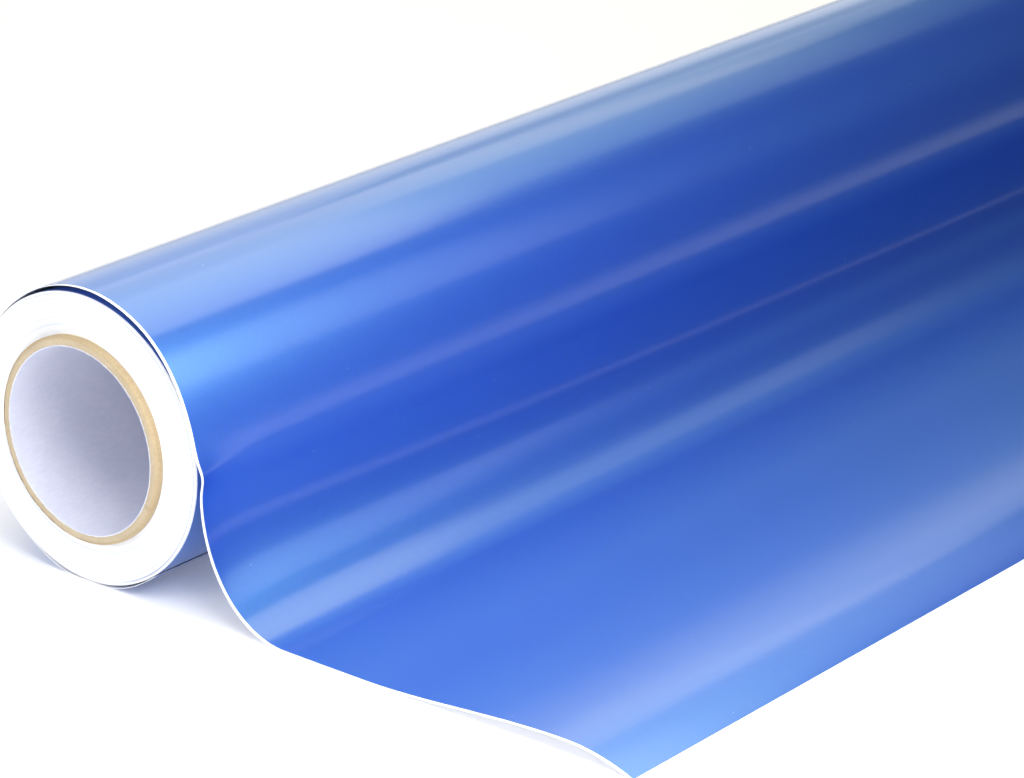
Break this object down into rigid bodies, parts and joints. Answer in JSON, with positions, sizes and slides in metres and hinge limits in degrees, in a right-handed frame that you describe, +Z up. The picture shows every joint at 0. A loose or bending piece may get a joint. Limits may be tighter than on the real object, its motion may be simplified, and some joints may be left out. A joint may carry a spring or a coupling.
{
  "type": "roll of sign vinyl",
  "caption": "Wide roll of metallic blue sign film on white release liner, wound on a paper core, with its free end drawn off the top and lying flat in front.",
  "frame": {"origin": "on the core's axis, at mid-width of the roll", "axes": "+X along the core, -Y the way the sheet is drawn off over the top and down the front, +Z up; the table is at Z = -59.75 mm"},
  "size_m": [1.226, 0.3285, 0.1221],
  "materials": {
    "core_lining_paper": "matte",
    "core_board": "matte",
    "core_ply_paper": "matte",
    "tape_paper": "matte",
    "wound_edges": "matte",
    "liner_paper": "satin",
    "vinyl_film": "satin"
  },
  "bodies": {
    "loose_web": {"loose_turn_liner": "liner_paper", "loose_turn_film": "vinyl_film", "hanging_web_liner": "liner_paper", "hanging_web_film": "vinyl_film"},
    "roll": {"core_bore_lining": "core_lining_paper", "core_body": "core_board", "core_outer_ply": "core_ply_paper", "start_tape": "tape_paper", "wound_turns": "wound_edges", "last_turn_liner": "liner_paper", "last_turn_film": "vinyl_film"},
    "drawn_sheet": {"drawn_sheet_liner": "liner_paper", "drawn_sheet_film": "vinyl_film"},
    "free_end": {"free_end_liner": "liner_paper", "free_end_film": "vinyl_film"}
  },
  "joints": [
    {"name": "roll_turn", "type": "hinge", "parent": "loose_web", "child": "roll", "pos_m": [0, 0, 0], "axis": [1, 0, 0], "range_deg": [0, 360]},
    {"name": "sheet_draw", "type": "slide", "parent": "loose_web", "child": "drawn_sheet", "axis": [0, -1, 0], "range_m": [0, 0.3714]},
    {"name": "free_end_lift", "type": "hinge", "parent": "drawn_sheet", "child": "free_end", "pos_m": [0, -0.19998, -0.05551], "axis": [-1, 0, 0], "range_deg": [0, 60]}
  ],
  "couplings": [
    {"joint": "sheet_draw", "follows": "roll_turn", "m_per_rad": 0.0591}
  ]
}
